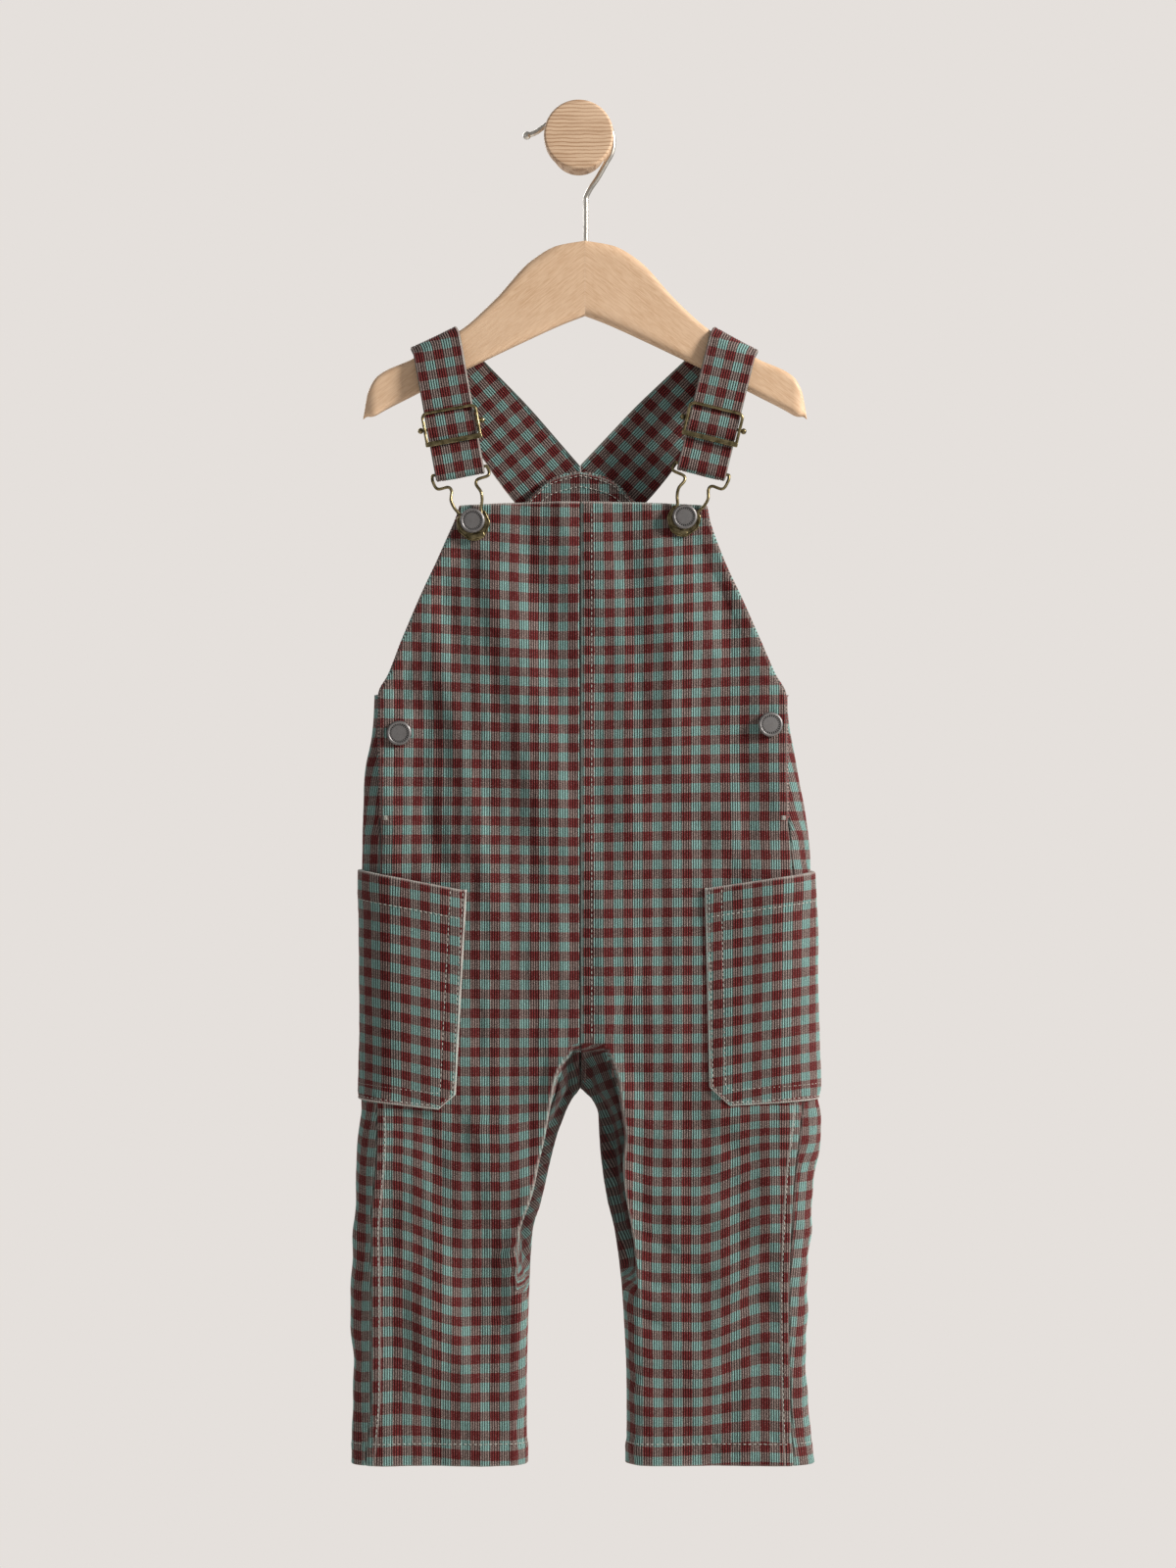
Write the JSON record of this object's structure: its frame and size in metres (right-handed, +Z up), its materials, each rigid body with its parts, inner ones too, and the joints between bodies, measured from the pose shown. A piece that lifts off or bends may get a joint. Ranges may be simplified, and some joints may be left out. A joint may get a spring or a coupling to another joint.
{
  "type": "bib overalls on a hanger and wall peg",
  "caption": "Toddler's checked needlecord bib overalls with crossed straps, brass slides and bib hooks and hip patch pockets, hung over a wooden hanger on a round wall peg",
  "frame": {"origin": "the middle of the wall peg's flat back face, which lies on the wall", "axes": "+X to the viewer's right, +Y into the wall, +Z up; the garment's front faces -Y"},
  "size_m": [0.2964, 0.0573, 0.865],
  "materials": {
    "needlecord": "fine corduroy in a dark red and teal gingham check, soft low pile",
    "old_brass": "antique brass wire, satin with brighter worn ridges",
    "gunmetal": "dull gunmetal jeans buttons with a ring of small dots",
    "beech": "pale beech, smooth matt lacquer",
    "satin_wire": "pale satin nickel wire"
  },
  "bodies": {
    "root": {"front_left": "needlecord", "front_right": "needlecord", "back_left": "needlecord", "back_right": "needlecord", "pocket_left": "needlecord", "pocket_right": "needlecord", "strap_left": "needlecord", "strap_right": "needlecord", "slide_left": "old_brass", "bib_hook_left": "old_brass", "bib_button_left": "gunmetal", "side_button_left": "gunmetal", "hanger_left": "beech", "slide_right": "old_brass", "bib_hook_right": "old_brass", "bib_button_right": "gunmetal", "side_button_right": "gunmetal", "hanger_right": "beech", "hanger_hook": "satin_wire", "wall_peg": "beech"}
  },
  "joints": []
}
